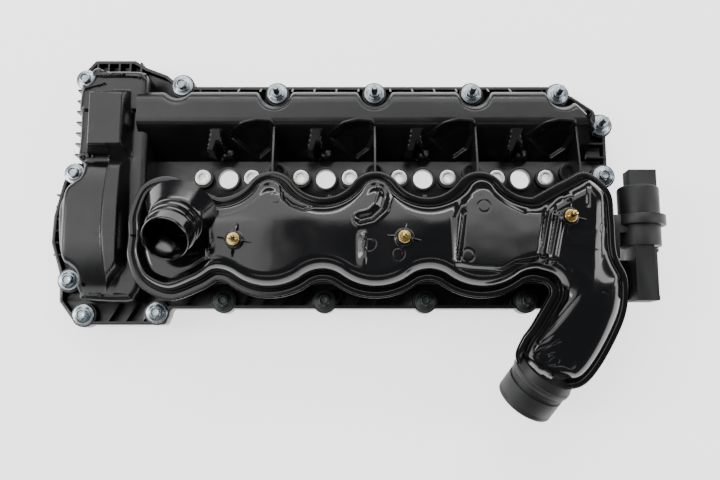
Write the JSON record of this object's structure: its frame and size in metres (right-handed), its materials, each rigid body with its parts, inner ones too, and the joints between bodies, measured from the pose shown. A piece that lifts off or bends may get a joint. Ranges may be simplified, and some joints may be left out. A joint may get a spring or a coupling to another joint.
{
  "type": "cylinder head cover with intake manifold",
  "caption": "Moulded cam cover for a diesel cylinder head with a built-in intake plenum, elbow inlet, crossover stub and motor-driven swirl flaps.",
  "frame": {"origin": "on the head joint face, midway between the middle two injector bores", "axes": "+X along the cylinders towards the actuator, +Y towards the exhaust side, +Z away from the cylinder head"},
  "size_m": [0.595, 0.3592, 0.1461],
  "materials": {
    "cover_nylon": "satin",
    "gloss_shell": "gloss",
    "matte_nylon": "matte",
    "brass": "machined",
    "seal_rubber": "matte",
    "zinc_steel": "zinc plated",
    "bright_steel": "turned",
    "shaft_steel": "ground",
    "white_acetal": "satin",
    "magnet": "sintered"
  },
  "bodies": {
    "cover": {"flange_exhaust_side": "cover_nylon", "flange_exhaust_corner": "cover_nylon", "flange_timing_head": "cover_nylon", "flange_timing_step": "cover_nylon", "flange_timing_upper": "cover_nylon", "flange_timing_waist": "cover_nylon", "flange_timing_lower": "cover_nylon", "flange_timing_corner": "cover_nylon", "flange_timing_foot": "cover_nylon", "flange_bolt_side": "cover_nylon", "flange_actuator_end": "cover_nylon", "injector_platform": "cover_nylon", "plenum_gussets": "cover_nylon", "exhaust_cam_housing": "cover_nylon", "timing_end_housing": "cover_nylon", "intake_cam_housing": "cover_nylon", "port_block_1": "cover_nylon", "port_block_2": "cover_nylon", "port_block_3": "cover_nylon", "port_block_4": "cover_nylon", "port_block_5": "cover_nylon", "port_block_6": "cover_nylon", "port_block_7": "cover_nylon", "port_block_8": "cover_nylon", "bay_webs": "cover_nylon", "plenum_lower_shell": "cover_nylon", "plenum_top_shell": "gloss_shell", "crossover_stub": "gloss_shell", "hose_spigot": "matte_nylon", "fixing_studs": "brass", "perimeter_gasket": "seal_rubber", "injector_seals": "seal_rubber", "port_seals": "seal_rubber", "hex_bolts": "zinc_steel", "stud_bolts": "zinc_steel", "bolt_washers": "zinc_steel", "bolt_sleeves": "zinc_steel", "bolt_grommets": "seal_rubber", "clamp_sleeves": "bright_steel", "shaft_bushes": "brass", "shaft_seal": "seal_rubber", "motor_yoke": "zinc_steel", "motor_magnets": "magnet", "motor_bearings": "brass", "gearbox_case": "matte_nylon", "gearbox_lid": "matte_nylon", "gearbox_screws": "zinc_steel", "actuator_cover": "matte_nylon", "connector_pins": "brass", "mounting_band": "matte_nylon", "actuator_bracket": "matte_nylon"},
    "flaps": {"flap_shaft": "shaft_steel", "swirl_flaps": "shaft_steel", "flap_screws": "shaft_steel", "drive_lever": "white_acetal"},
    "nut": {"spindle_nut": "brass"},
    "rotor": {"motor_armature": "shaft_steel"}
  },
  "joints": [
    {"name": "motor_turn", "type": "hinge", "parent": "cover", "child": "rotor", "pos_m": [0.2525, -0.045, 0.042], "axis": [0, 1, 0], "range_deg": [0, 692.82]},
    {"name": "flap_turn", "type": "hinge", "parent": "cover", "child": "flaps", "pos_m": [0, -0.0935, 0.022], "axis": [1, 0, 0], "range_deg": [0, 60.2]},
    {"name": "nut_slide", "type": "slide", "parent": "cover", "child": "nut", "axis": [0, -1, 0], "range_m": [0, 0.0232]}
  ],
  "couplings": [
    {"joint": "flap_turn", "follows": "motor_turn", "ratio": 0.086603},
    {"joint": "nut_slide", "follows": "motor_turn", "m_per_rad": 0.0019099}
  ]
}
